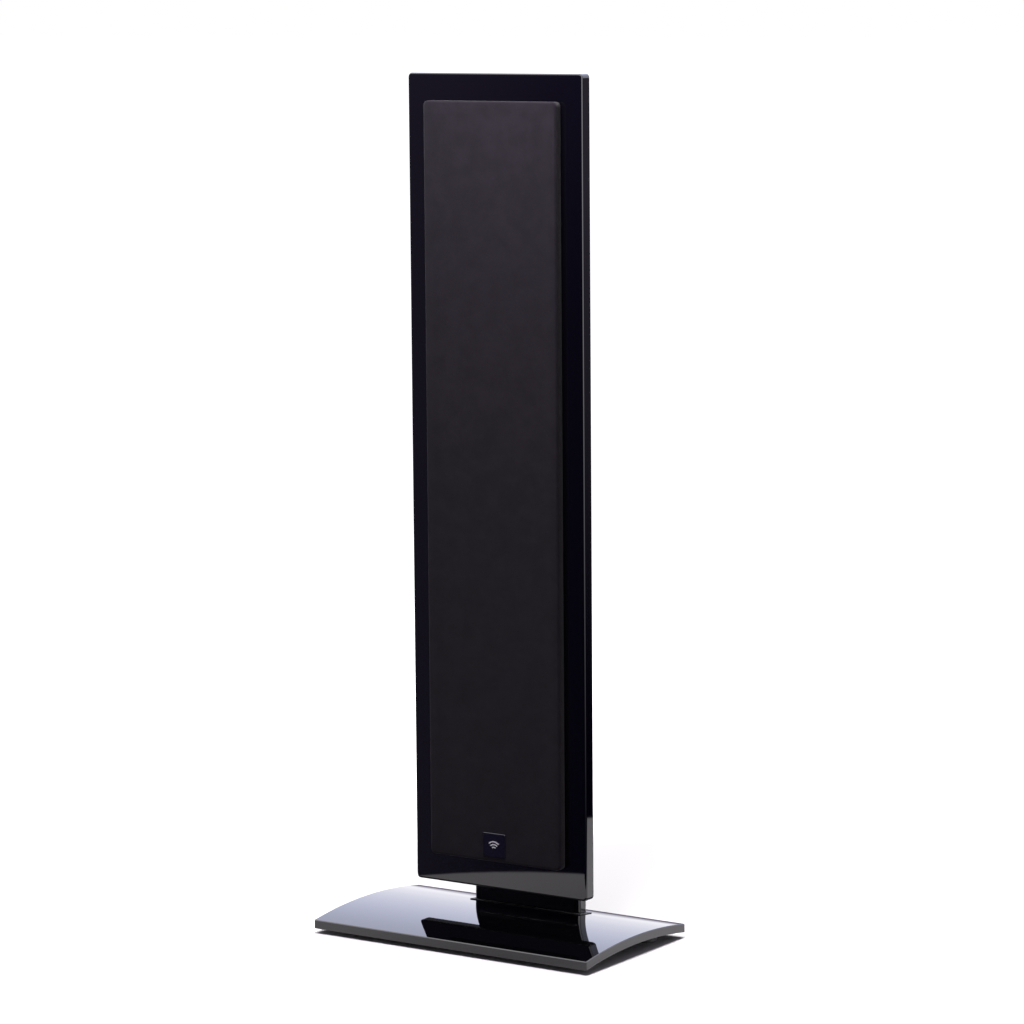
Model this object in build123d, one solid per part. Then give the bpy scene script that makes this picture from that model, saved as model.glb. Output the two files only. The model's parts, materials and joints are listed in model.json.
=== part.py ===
from build123d import *
import math
import os

# Slim floorstanding loudspeaker: a flat gloss cabinet carried by an upright on an arched base plate.
# Millimetres. X runs to the right, Y to the back, Z up. Z = 0 is the floor and X = Y = 0 is the middle
# of the base plate.

# ---- base plate and feet ----
PLATE_WIDTH = 393.6
PLATE_DEPTH = 221.2
PLATE_THICKNESS = 10.6
PLATE_EDGE_TOP = 16.6
PLATE_RISE = 9.0
PLATE_CORNER = 1.5
PLATE_CHAMFER = 0.8
FOOT_X = 168.0
FOOT_Y = 70.0
FOOT_RADIUS = 12.0
FOOT_TOP = 13.4
FOOT_TAPER = 1.2
FOOT_SCREW_HOLE = 2.1
FOOT_SCREW_SEAT = 5.0
FOOT_SCREW_TIP = 17.0

# ---- cabinet ----
CABINET_WIDTH = 248.0
CABINET_BOTTOM = 55.7
CABINET_TOP = 1039.5
CABINET_MIDDLE = (CABINET_BOTTOM + CABINET_TOP) / 2
CABINET_HEIGHT = CABINET_TOP - CABINET_BOTTOM
FACE_Y = 3.8
PANEL_BACK = 19.5
PANEL_CORNER = 5.0
PANEL_EDGE_ROUND = 2.6
GASKET_THICKNESS = 1.0
SHELL_FRONT = PANEL_BACK + GASKET_THICKNESS
SHELL_BACK = 61.0
SHELL_WALL = 3.0
SHELL_FRONT_SIZE = (232.0, 966.0)
SHELL_BACK_SIZE = (180.0, 928.0)
SHELL_FRONT_CORNER = 12.0
SHELL_BACK_CORNER = 16.0
SHELL_INSIDE = SHELL_BACK - SHELL_WALL
GASKET_BORDER = 7.0

# ---- upright ----
COLUMN_HALF = 77.0
COLUMN_FRONT = SHELL_BACK
COLUMN_BACK = 78.0
COLUMN_TOP = 480.0
COLUMN_CORNER = 4.0
GROOVE_X = 70.0
GROOVE_WIDTH = 1.8
GROOVE_DEPTH = 2.2
COLUMN_FRONT_WALL = 3.5
CAVITY_HALF = 62.0
CAVITY_BOTTOM = 62.0
CAVITY_TOP = COLUMN_TOP - 6.0
COVER_THICKNESS = 2.5
COVER_GAP = 0.3
FOOT_SEAL = 1.0
FOOT_SEAL_LIP = 4.0

# ---- fasteners: shank radius, head radius, head height ----
M3 = (1.5, 3.0, 1.6)
M4 = (2.0, 3.6, 2.4)
M6 = (3.0, 5.0, 3.2)
HOLE_GAP = 0.1

# ---- drive units: centre heights ----
TWEETER_Z = 915.0
MIDRANGE_Z = 790.0
WOOFER_UPPER_Z = 640.0
WOOFER_LOWER_Z = 468.0

# ---- grille ----
GRILLE_WIDTH = 189.0
GRILLE_BOTTOM = 91.8
GRILLE_TOP = 1006.8
GRILLE_FRONT = -8.2
GRILLE_CORNER = 6.0
GRILLE_EDGE_ROUND = 3.0
CLOTH_THICKNESS = 0.8
CLOTH_BACK = 3.5
GRILLE_FRAME_BACK = 3.3
GRILLE_RAIL = 9.0
GRILLE_MIDDLE = (GRILLE_BOTTOM + GRILLE_TOP) / 2
GRILLE_HEIGHT = GRILLE_TOP - GRILLE_BOTTOM
PEG_X = 89.2
PEG_HEIGHTS = (112.0, 380.0, 718.0, 986.0)
PEG_RADIUS = 2.6
PEG_TIP = 12.5
PEG_LEAD_IN = 0.8
SOCKET_RADIUS = 4.4
SOCKET_BACK = 14.0
CROSSBAR_HEIGHTS = (205.0, 380.0, 554.0, 718.0)
CROSSBAR_HEIGHT = 7.0
CROSSBAR_FRONT = -6.4
CROSSBAR_BACK = -2.8
BADGE_SIZE = (32.0, 29.4)
BADGE_Z = 112.8
BADGE_THICKNESS = 1.2
EMBLEM_HEIGHT = 0.5

# ---- terminals ----
TERMINAL_Z = 556.0
POST_SPACING = 19.05
CUP_OUTSIDE = (78.0, 50.0)
CUP_WALL = 2.5
CUP_FLANGE = (96.0, 68.0)
CUP_FLANGE_BACK = 63.4
CUP_FLOOR_BACK = 43.0
POST_RADIUS = 3.2
POST_COLLAR_RADIUS = 6.4
POST_COLLAR_BACK = 45.0
POST_END = 60.5
POST_INNER_END = 33.5
BANANA_RADIUS = 2.0
BANANA_DEPTH = 14.5
WASHER_RADIUS = 6.2
KNOB_RADIUS = 7.2
KNOB_FRONT = 46.3
KNOB_BACK = 59.0
RUNNING_GAP = 0.05

# ---- crossover ----
BOARD_SIZE = (118.0, 176.0)
BOARD_Z = 250.0
BOARD_BACK = 52.0
BOARD_THICKNESS = 1.6
BOARD_FRONT = BOARD_BACK - BOARD_THICKNESS

# ---- leads ----
LEAD_RADIUS = 1.3


# ======================================================================== helpers
def back_facing(y, x=0.0, z=0.0):
    """A plane across the Y axis whose local X and Y are the model's X and Z."""
    return Plane(origin=(x, y, z), x_dir=(1, 0, 0), z_dir=(0, -1, 0))


def slab(outline, y0, y1, x=0.0, z=0.0):
    """Extrude an outline drawn as (X, Z) from depth y0 back to depth y1."""
    return extrude(back_facing(y0, x, z) * outline, amount=y0 - y1)


def rod(radius, y0, y1, x=0.0, z=0.0):
    return slab(Circle(radius), y0, y1, x, z)


def tube(outer, inner, y0, y1, x=0.0, z=0.0):
    return slab(Circle(outer) - Circle(inner), y0, y1, x, z)


def upright_rod(radius, z0, z1, x, y):
    return Pos(x, y, z0) * extrude(Circle(radius), amount=z1 - z0)


def box(low, high):
    """A block between two corners."""
    size = [b - a for a, b in zip(low, high)]
    return Pos(*low) * Box(*size, align=(Align.MIN, Align.MIN, Align.MIN))


def turned(points, z, x=0.0):
    """Turn a closed outline of (radius, Y) points about a Y axis at height z."""
    outline = make_face(Polyline(*points, close=True).edges())
    return Pos(x, 0, z) * revolve(outline, axis=Axis.Y)


def rounded_face(size, corner, y, z=0.0):
    return back_facing(y, 0.0, z) * RectangleRounded(size[0], size[1], corner)


def join(pieces):
    """Fuse touching pieces into one solid."""
    total = pieces[0]
    for piece in pieces[1:]:
        total += piece
    return total


def group(pieces):
    """Keep pieces as separate solids of one node."""
    solids = []
    for piece in pieces:
        solids.extend(piece.solids())
    return Compound(children=solids)


def screw_y(size, seat, tip, x, z):
    """A pan-head screw along Y: the head stands behind the seat and the shank runs forward to the tip."""
    shank, head, height = size
    return join([rod(shank, tip, seat, x, z), rod(head, seat, seat + height, x, z) - slot_y(size, seat, x, z)])


def slot_y(size, seat, x, z):
    """The cross recess in a screw head that faces back."""
    shank, head, height = size
    arm = head * 1.1
    width = head * 0.28
    cross = Rectangle(arm, width) + Rectangle(width, arm)
    return slab(cross, seat + height * 0.45, seat + height, x, z)


def screw_front(size, seat, tip, x, z):
    """A pan-head screw along Y whose head stands in front of the seat."""
    shank, head, height = size
    arm = head * 1.1
    width = head * 0.28
    cross = slab(Rectangle(arm, width) + Rectangle(width, arm), seat - height, seat - height * 0.45, x, z)
    return join([rod(shank, seat, tip, x, z), rod(head, seat - height, seat, x, z) - cross])


def screw_up(size, seat, tip, x, y):
    """A socket screw along Z: the head hangs below the seat and the shank runs up to the tip."""
    shank, head, height = size
    socket = Pos(x, y, seat - height) * extrude(RegularPolygon(shank * 0.8, 6), amount=height * 0.55)
    return join([upright_rod(shank, seat, tip, x, y), upright_rod(head, seat - height, seat, x, y) - socket])


def mirrored(values):
    return [(side * x, z) for side in (-1, 1) for x, z in values]


# ======================================================================== base plate and feet
def plate_top(y):
    """Height of the arched top surface at depth y."""
    half = PLATE_DEPTH / 2
    radius = (half ** 2 + PLATE_RISE ** 2) / (2 * PLATE_RISE)
    return PLATE_EDGE_TOP + PLATE_RISE - radius + math.sqrt(radius ** 2 - y ** 2)


def below_arch(lift):
    """Everything below the arched surface, raised by lift, across the plate's whole width and more."""
    half = PLATE_DEPTH / 2
    depth = 60.0
    edge = PLATE_EDGE_TOP + lift
    arc = ThreePointArc((-half, edge), (0, edge + PLATE_RISE), (half, edge))
    sides = Polyline((half, edge), (half, edge - depth), (-half, edge - depth), (-half, edge))
    outline = make_face(arc.edges() + sides.edges())
    return Pos(-PLATE_WIDTH / 2, 0, 0) * extrude(Plane.YZ * outline, amount=PLATE_WIDTH)


FOOT_PLACES = [(sx * FOOT_X, sy * FOOT_Y) for sx in (-1, 1) for sy in (-1, 1)]
COLUMN_SCREW_Y = 69.5
COLUMN_SCREW_X = (-56.0, -24.0, 24.0, 56.0)
COLUMN_SCREW_SEAT = 16.2
COLUMN_SCREW_TIP = 48.0


def base_plate():
    """The arched plate, pocketed underneath for its feet and for the screws that hold the upright."""
    plate = below_arch(0.0) - below_arch(-PLATE_THICKNESS)
    corners = [e for e in plate.edges().filter_by(Axis.Z) if abs(e.length - PLATE_THICKNESS) < 1.0]
    plate = fillet(corners, PLATE_CORNER)
    arched = sorted(plate.faces(), key=lambda face: face.area)[-2:]
    top_face = max(arched, key=lambda face: face.bounding_box().max.Z)
    plate = chamfer(top_face.edges(), PLATE_CHAMFER)
    for x, y in FOOT_PLACES:
        plate -= upright_rod(FOOT_RADIUS + 0.2, 0.0, FOOT_TOP, x, y)
        plate -= upright_rod(M4[0] + HOLE_GAP, FOOT_TOP, FOOT_SCREW_TIP + 0.5, x, y)
    for x in COLUMN_SCREW_X:
        plate -= upright_rod(M6[0] + HOLE_GAP, 0.0, 40.0, x, COLUMN_SCREW_Y)
        plate -= upright_rod(M6[1] + 0.5, 0.0, COLUMN_SCREW_SEAT, x, COLUMN_SCREW_Y)
    return plate


def foot_pad(x, y):
    pad = upright_rod(FOOT_RADIUS, 0.0, FOOT_TOP, x, y)
    pad = chamfer(pad.edges().group_by(Axis.Z)[0], FOOT_TAPER)
    pad -= upright_rod(M4[1] + 0.4, 0.0, FOOT_SCREW_SEAT, x, y)
    pad -= upright_rod(M4[0] + HOLE_GAP, FOOT_SCREW_SEAT, FOOT_TOP, x, y)
    return pad


def foot_pads():
    return group([foot_pad(x, y) for x, y in FOOT_PLACES])


def foot_screws():
    return group([screw_up(M4, FOOT_SCREW_SEAT, FOOT_SCREW_TIP, x, y) for x, y in FOOT_PLACES])


# ======================================================================== upright
CABINET_SCREW_PLACES = mirrored([(44.0, 112.0), (44.0, 418.0)])
COVER_SCREW_HEIGHTS = (82.0, 268.0, 454.0)
COVER_BOSS_RADIUS = 5.0
INSERT_RADIUS = 6.0
INSERT_FRONT = 47.0


def column_outline():
    """Plan of the upright, with a groove down each side of its front face."""
    depth = COLUMN_BACK - COLUMN_FRONT
    middle = (COLUMN_FRONT + COLUMN_BACK) / 2
    plan = Pos(0, middle) * RectangleRounded(2 * COLUMN_HALF, depth, COLUMN_CORNER)
    for side in (-1, 1):
        plan -= Pos(side * GROOVE_X, COLUMN_FRONT) * Rectangle(GROOVE_WIDTH, 2 * GROOVE_DEPTH)
    return plan


def column():
    body = extrude(column_outline(), amount=COLUMN_TOP)
    body -= below_arch(FOOT_SEAL)
    cavity_front = COLUMN_FRONT + COLUMN_FRONT_WALL
    body -= box((-CAVITY_HALF, cavity_front, CAVITY_BOTTOM), (CAVITY_HALF, COLUMN_BACK + 1, CAVITY_TOP))
    for z in COVER_SCREW_HEIGHTS:
        body += rod(COVER_BOSS_RADIUS, cavity_front, COLUMN_BACK - COVER_THICKNESS, 0.0, z)
        body -= rod(M3[0] + HOLE_GAP, cavity_front + 2.0, COLUMN_BACK, 0.0, z)
    for x, z in CABINET_SCREW_PLACES:
        body -= rod(M6[0] + HOLE_GAP, COLUMN_FRONT - 1, cavity_front + 1, x, z)
    for x in COLUMN_SCREW_X:
        body -= upright_rod(M6[0] + HOLE_GAP, 0.0, COLUMN_SCREW_TIP + 1.0, x, COLUMN_SCREW_Y)
    return body


def column_gasket():
    low = (-COLUMN_HALF - FOOT_SEAL_LIP, COLUMN_FRONT - FOOT_SEAL_LIP, PLATE_EDGE_TOP)
    high = (COLUMN_HALF + FOOT_SEAL_LIP, COLUMN_BACK + FOOT_SEAL_LIP, PLATE_EDGE_TOP + PLATE_RISE + 2)
    seal = (box(low, high) & below_arch(FOOT_SEAL)) - below_arch(0.0)
    for x in COLUMN_SCREW_X:
        seal -= upright_rod(M6[0] + HOLE_GAP, 0.0, 40.0, x, COLUMN_SCREW_Y)
    return seal


def column_screws():
    return group([screw_up(M6, COLUMN_SCREW_SEAT, COLUMN_SCREW_TIP, x, COLUMN_SCREW_Y) for x in COLUMN_SCREW_X])


def column_cover():
    half = CAVITY_HALF - COVER_GAP
    low = CAVITY_BOTTOM + COVER_GAP
    high = CAVITY_TOP - COVER_GAP
    plan = RectangleRounded(2 * half, high - low, 1.0)
    cover = slab(plan, COLUMN_BACK - COVER_THICKNESS, COLUMN_BACK, 0.0, (low + high) / 2)
    cover = chamfer(cover.faces().sort_by(Axis.Y)[-1].edges(), 0.5)
    for z in COVER_SCREW_HEIGHTS:
        cover -= rod(M3[0] + HOLE_GAP, COLUMN_BACK - 4, COLUMN_BACK + 1, 0.0, z)
        cover -= rod(M3[1] + 0.3, COLUMN_BACK - M3[2] - 0.1, COLUMN_BACK + 1, 0.0, z)
    return cover


def cover_screws():
    seat = COLUMN_BACK - M3[2] - 0.1
    return group([screw_y(M3, seat, COLUMN_FRONT + 7.0, 0.0, z) for z in COVER_SCREW_HEIGHTS])


def cabinet_screws():
    seat = COLUMN_FRONT + COLUMN_FRONT_WALL
    return group([screw_y(M6, seat, INSERT_FRONT + 0.5, x, z) for x, z in CABINET_SCREW_PLACES])


def cabinet_inserts():
    bore = M6[0] + HOLE_GAP
    return group([tube(INSERT_RADIUS, bore, INSERT_FRONT, SHELL_INSIDE, x, z) for x, z in CABINET_SCREW_PLACES])


# ======================================================================== drive unit dimensions
class ConeUnit:
    """Sizes of one cone drive unit, in radii from its axis and depths along Y."""

    def __init__(self, z, flange, cutout, motor, coil, travel):
        self.z = z
        self.flange = flange
        self.cutout = cutout
        self.motor = motor
        self.coil = coil
        self.travel = travel
        self.flange_back = FACE_Y + 4.0
        self.wall = cutout - 0.8
        self.roll = cutout * 0.078
        self.shelf = cutout - 3.2
        self.cone_edge = self.shelf - 2 * self.roll - 1.2
        self.cone_front = FACE_Y + 2.4
        self.neck = 27.0
        self.spider_y = 31.0
        self.spider_shelf = cutout * 0.56
        self.plate_front = 39.5
        self.plate_back = 43.0
        self.magnet_back = 49.0
        self.motor_back = 53.0
        self.pole = coil - 1.0
        self.coil_end = 45.0


WOOFER_UPPER = ConeUnit(WOOFER_UPPER_Z, 75.0, 63.0, 33.0, 13.0, 4.0)
WOOFER_LOWER = ConeUnit(WOOFER_LOWER_Z, 75.0, 63.0, 33.0, 13.0, 4.0)
MIDRANGE = ConeUnit(MIDRANGE_Z, 60.0, 49.0, 27.0, 12.5, 3.0)
CONE_UNITS = {"woofer_upper": WOOFER_UPPER, "woofer_lower": WOOFER_LOWER, "midrange": MIDRANGE}

TWEETER_FLANGE = 50.0
TWEETER_CUTOUT = 38.0
TWEETER_MOTOR = 34.0
TWEETER_MOTOR_BACK = 34.0
TWEETER_DOME = 12.5
TWEETER_COIL_END = 17.0
FLANGE_THICKNESS = 4.0
FLANGE_GAP = 0.3


def bolt_circle(unit_z, radius):
    """Four places on a circle, turned 45 degrees."""
    step = radius / math.sqrt(2)
    return [(sx * step, unit_z + sz * step) for sx in (-1, 1) for sz in (-1, 1)]


def unit_screws():
    places = bolt_circle(TWEETER_Z, TWEETER_FLANGE - 5.5)
    for unit in CONE_UNITS.values():
        places += bolt_circle(unit.z, unit.flange - 5.5)
    return places


UNIT_SCREW_SEAT = FACE_Y + M4[2]


# ======================================================================== cabinet
PANEL_SCREW_PLACES = mirrored([(82.0, z) for z in (96.0, 330.0, 566.0, 836.0, 1000.0)])
PANEL_SCREW_SEAT = 33.0
PANEL_SCREW_TIP = 9.0
BOSS_RADIUS = 6.0


def front_panel():
    outline = RectangleRounded(CABINET_WIDTH, CABINET_HEIGHT, PANEL_CORNER)
    panel = slab(outline, FACE_Y, PANEL_BACK, 0.0, CABINET_MIDDLE)
    panel = fillet(panel.faces().sort_by(Axis.Y)[0].edges(), PANEL_EDGE_ROUND)
    for unit in CONE_UNITS.values():
        panel -= rod(unit.flange + FLANGE_GAP, FACE_Y - 1, FACE_Y + FLANGE_THICKNESS, 0.0, unit.z)
        panel -= rod(unit.cutout, FACE_Y, PANEL_BACK + 1, 0.0, unit.z)
    panel -= rod(TWEETER_FLANGE + FLANGE_GAP, FACE_Y - 1, FACE_Y + FLANGE_THICKNESS, 0.0, TWEETER_Z)
    panel -= rod(TWEETER_CUTOUT, FACE_Y, PANEL_BACK + 1, 0.0, TWEETER_Z)
    for x, z in unit_screws():
        panel -= rod(M4[0] + HOLE_GAP, FACE_Y, FACE_Y + 13.0, x, z)
    for x, z in PANEL_SCREW_PLACES:
        panel -= rod(M4[0] + HOLE_GAP, PANEL_SCREW_TIP - 0.5, PANEL_BACK + 1, x, z)
    for x, z in mirrored([(PEG_X, z) for z in PEG_HEIGHTS]):
        panel -= rod(SOCKET_RADIUS, FACE_Y - 1, SOCKET_BACK, x, z)
    return panel


def panel_gasket():
    width, height = SHELL_FRONT_SIZE
    inner = RectangleRounded(width - 2 * GASKET_BORDER, height - 2 * GASKET_BORDER, 6.0)
    outer = RectangleRounded(width, height, SHELL_FRONT_CORNER)
    return slab(outer - inner, PANEL_BACK, SHELL_FRONT, 0.0, CABINET_MIDDLE)


def shell_form(inset, back):
    """The tapered body of the enclosure, drawn in by inset, from its front rim to depth back."""
    front_size = [s - 2 * inset for s in SHELL_FRONT_SIZE]
    back_size = [s - 2 * inset for s in SHELL_BACK_SIZE]
    share = (back - SHELL_FRONT) / (SHELL_BACK - SHELL_FRONT)
    end_size = [a + (b - a) * share for a, b in zip(front_size, back_size)]
    front = rounded_face(front_size, SHELL_FRONT_CORNER - inset, SHELL_FRONT, CABINET_MIDDLE)
    end = rounded_face(end_size, SHELL_BACK_CORNER - inset, back, CABINET_MIDDLE)
    return loft([front, end])


def rear_shell():
    shell = shell_form(0.0, SHELL_BACK)
    shell = fillet(shell.faces().sort_by(Axis.Y)[-1].edges(), 2.0)
    shell -= shell_form(SHELL_WALL, SHELL_INSIDE)
    for x, z in PANEL_SCREW_PLACES:
        shell += rod(BOSS_RADIUS, SHELL_FRONT, SHELL_BACK, x, z)
        shell -= rod(M4[0] + HOLE_GAP, SHELL_FRONT - 1, SHELL_BACK + 1, x, z)
        shell -= rod(M4[1] + 0.4, PANEL_SCREW_SEAT, SHELL_BACK + 1, x, z)
    for x, z in CABINET_SCREW_PLACES:
        shell -= rod(M6[0] + HOLE_GAP, SHELL_INSIDE - 1, SHELL_BACK + 1, x, z)
    cutout = Rectangle(CUP_OUTSIDE[0] + 0.6, CUP_OUTSIDE[1] + 0.6)
    shell -= slab(cutout, SHELL_INSIDE - 1, SHELL_BACK + 1, 0.0, TERMINAL_Z)
    for x, z in CUP_SCREW_PLACES:
        shell -= rod(M3[0] + HOLE_GAP, SHELL_INSIDE - 1, SHELL_BACK + 1, x, z)
    return shell


def panel_screws():
    return group([screw_y(M4, PANEL_SCREW_SEAT, PANEL_SCREW_TIP, x, z) for x, z in PANEL_SCREW_PLACES])


BRACE_HEIGHTS = (372.0, 716.0)
BRACE_THICKNESS = 6.0
BRACE_PORT = (96.0, 22.0)


def cabinet_brace(z):
    """A rib across the inside of the enclosure, with a port for air and leads."""
    half = BRACE_THICKNESS / 2
    wide = SHELL_FRONT_SIZE[0]
    rib = box((-wide / 2, SHELL_FRONT, z - half), (wide / 2, SHELL_INSIDE, z + half))
    rib &= shell_form(SHELL_WALL, SHELL_INSIDE)
    middle = (SHELL_FRONT + SHELL_INSIDE) / 2
    port = RectangleRounded(BRACE_PORT[0], BRACE_PORT[1], 6.0)
    rib -= Pos(0, middle, z - half) * extrude(port, amount=BRACE_THICKNESS)
    for side in (-1, 1):
        rib -= box((side * LEAD_X - LEAD_SLOT / 2, LEAD_SLOT_FRONT, z - half),
                   (side * LEAD_X + LEAD_SLOT / 2, LEAD_SLOT_BACK, z + half))
    return rib


def cabinet_braces():
    return group([cabinet_brace(z) for z in BRACE_HEIGHTS])


def wadding_pad(z0, z1, half):
    pad = box((-half, SHELL_FRONT + 1.0, z0), (half, SHELL_INSIDE - 1.0, z1))
    return fillet(pad.edges(), 6.0)


def damping_wadding():
    return group([wadding_pad(126.0, 150.0, 70.0), wadding_pad(966.0, 1000.0, 68.0)])


# ======================================================================== terminals
CUP_SCREW_PLACES = [(sx * 43.0, TERMINAL_Z + sz * 29.0) for sx in (-1, 1) for sz in (-1, 1)]
POST_X = POST_SPACING / 2
CUP_FLOOR_FRONT = CUP_FLOOR_BACK - CUP_WALL
NUT_RADIUS = 5.6
NUT_HEIGHT = 3.0


def terminal_cup():
    cup = slab(RectangleRounded(*CUP_FLANGE, 4.0), SHELL_BACK, CUP_FLANGE_BACK, 0.0, TERMINAL_Z)
    cup = chamfer(cup.faces().sort_by(Axis.Y)[-1].edges(), 0.8)
    cup += slab(Rectangle(*CUP_OUTSIDE), CUP_FLOOR_FRONT, SHELL_BACK, 0.0, TERMINAL_Z)
    inside = RectangleRounded(CUP_OUTSIDE[0] - 2 * CUP_WALL, CUP_OUTSIDE[1] - 2 * CUP_WALL, 5.0)
    cup -= slab(inside, CUP_FLOOR_BACK, CUP_FLANGE_BACK + 1, 0.0, TERMINAL_Z)
    for side in (-1, 1):
        cup -= rod(POST_RADIUS, CUP_FLOOR_FRONT - 1, CUP_FLOOR_BACK + 1, side * POST_X, TERMINAL_Z)
    for x, z in CUP_SCREW_PLACES:
        cup -= rod(M3[0] + HOLE_GAP, SHELL_BACK - 1, CUP_FLANGE_BACK + 1, x, z)
    return cup


def terminal_screws():
    return group([screw_y(M3, CUP_FLANGE_BACK, SHELL_INSIDE - 4.0, x, z) for x, z in CUP_SCREW_PLACES])


def binding_post(x):
    """A threaded stud with a collar, drilled from the back for a banana plug."""
    post = rod(POST_RADIUS, POST_INNER_END, POST_END, x, TERMINAL_Z)
    post += rod(POST_COLLAR_RADIUS, CUP_FLOOR_BACK, POST_COLLAR_BACK, x, TERMINAL_Z)
    post -= rod(BANANA_RADIUS, POST_END - BANANA_DEPTH, POST_END + 1, x, TERMINAL_Z)
    return post


def binding_posts():
    return group([binding_post(-POST_X), binding_post(POST_X)])


def post_nut(x):
    nut = slab(RegularPolygon(NUT_RADIUS, 6), CUP_FLOOR_FRONT - NUT_HEIGHT, CUP_FLOOR_FRONT, x, TERMINAL_Z)
    return nut - rod(POST_RADIUS, CUP_FLOOR_FRONT - NUT_HEIGHT - 1, CUP_FLOOR_FRONT + 1, x, TERMINAL_Z)


def post_nuts():
    return group([post_nut(-POST_X), post_nut(POST_X)])


def clamp_washer(x):
    bore = POST_RADIUS + RUNNING_GAP
    return tube(WASHER_RADIUS, bore, POST_COLLAR_BACK + RUNNING_GAP, KNOB_FRONT - RUNNING_GAP, x, TERMINAL_Z)


KNOB_FLUTES = 18
KNOB_FLUTE_RADIUS = 0.7


def post_knob(x):
    """A fluted clamping knob that turns on the stud."""
    knob = tube(KNOB_RADIUS, POST_RADIUS + RUNNING_GAP, KNOB_FRONT, KNOB_BACK, x, TERMINAL_Z)
    knob = chamfer(knob.edges().filter_by(GeomType.CIRCLE).sort_by(SortBy.RADIUS)[-2:], 0.6)
    for turn in range(KNOB_FLUTES):
        angle = 2 * math.pi * turn / KNOB_FLUTES
        flute_x = x + KNOB_RADIUS * math.cos(angle)
        flute_z = TERMINAL_Z + KNOB_RADIUS * math.sin(angle)
        knob -= rod(KNOB_FLUTE_RADIUS, KNOB_FRONT + 2.0, KNOB_BACK + 1, flute_x, flute_z)
    return knob


# ======================================================================== crossover
STANDOFF_PLACES = [(sx * 51.0, BOARD_Z + sz * 80.0) for sx in (-1, 1) for sz in (-1, 1)]
INDUCTOR_PLACES = [(-30.0, BOARD_Z + 58.0), (30.0, BOARD_Z + 58.0), (-28.0, BOARD_Z - 52.0)]
INDUCTOR_RADIUS = 21.0
INDUCTOR_CORE = 8.0
INDUCTOR_FRONT = 28.0
CAPACITOR_PLACES = [(-30.0, BOARD_Z + 18.0, 9.0), (-30.0, BOARD_Z - 6.0, 9.0), (26.0, BOARD_Z + 14.0, 11.0)]
CAPACITOR_LENGTH = 42.0
RESISTOR_HEIGHTS = (BOARD_Z - 16.0, BOARD_Z - 36.0, BOARD_Z - 56.0)


def crossover_board():
    board = slab(RectangleRounded(*BOARD_SIZE, 3.0), BOARD_FRONT, BOARD_BACK, 0.0, BOARD_Z)
    for x, z in STANDOFF_PLACES:
        board -= rod(M3[0] + HOLE_GAP, BOARD_FRONT - 1, BOARD_BACK + 1, x, z)
    return board


def board_standoffs():
    """Spacers on the back wall, each with the screw that holds the board on it."""
    pieces = []
    for x, z in STANDOFF_PLACES:
        pieces.append(rod(4.0, BOARD_BACK, SHELL_INSIDE, x, z) + rod(M3[0], BOARD_FRONT, BOARD_BACK, x, z)
                      + rod(M3[1], BOARD_FRONT - M3[2], BOARD_FRONT, x, z))
    return group(pieces)


def inductors():
    """Wound copper air-core coils lying flat on the board."""
    coils = []
    for x, z in INDUCTOR_PLACES:
        coil = tube(INDUCTOR_RADIUS, INDUCTOR_CORE, INDUCTOR_FRONT, BOARD_FRONT, x, z)
        coils.append(fillet(coil.edges().sort_by(Axis.Y)[:2], 2.0))
    return group(coils)


def capacitors():
    """Film capacitors lying on the board, along X."""
    cans = []
    for x, z, radius in CAPACITOR_PLACES:
        middle = BOARD_FRONT - radius
        can = Pos(x - CAPACITOR_LENGTH / 2, middle, z) * (Rot(0, 90, 0) * extrude(Circle(radius), CAPACITOR_LENGTH))
        cans.append(chamfer(can.edges(), 1.0))
    return group(cans)


def resistors():
    """Wirewound power resistors in square ceramic bodies."""
    blocks = []
    for z in RESISTOR_HEIGHTS:
        blocks.append(box((8.0, BOARD_FRONT - 9.0, z - 4.5), (50.0, BOARD_FRONT, z + 4.5)))
    return group(blocks)


# ======================================================================== leads
LEAD_X = 92.0
LEAD_SLOT = 5.0
LEAD_SLOT_FRONT = 27.0
LEAD_SLOT_BACK = 45.0


def lead(points):
    """A round lead along straight runs joined by tangent arcs, each as large as its two runs allow."""
    vectors = [Vector(*p) for p in points]
    radii = []
    for before, here, after in zip(vectors, vectors[1:], vectors[2:]):
        run_in = here - before
        run_out = after - here
        turn = math.radians(run_in.get_angle(run_out))
        shorter = min(run_in.length, run_out.length)
        radii.append(0.45 * shorter / math.tan(turn / 2))
    path = FilletPolyline(*points, radius=radii)
    start = Plane(origin=path @ 0, z_dir=path % 0)
    return sweep(start * Circle(LEAD_RADIUS), path=path)


# ======================================================================== cone drive units
WINDOWS = 6


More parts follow.
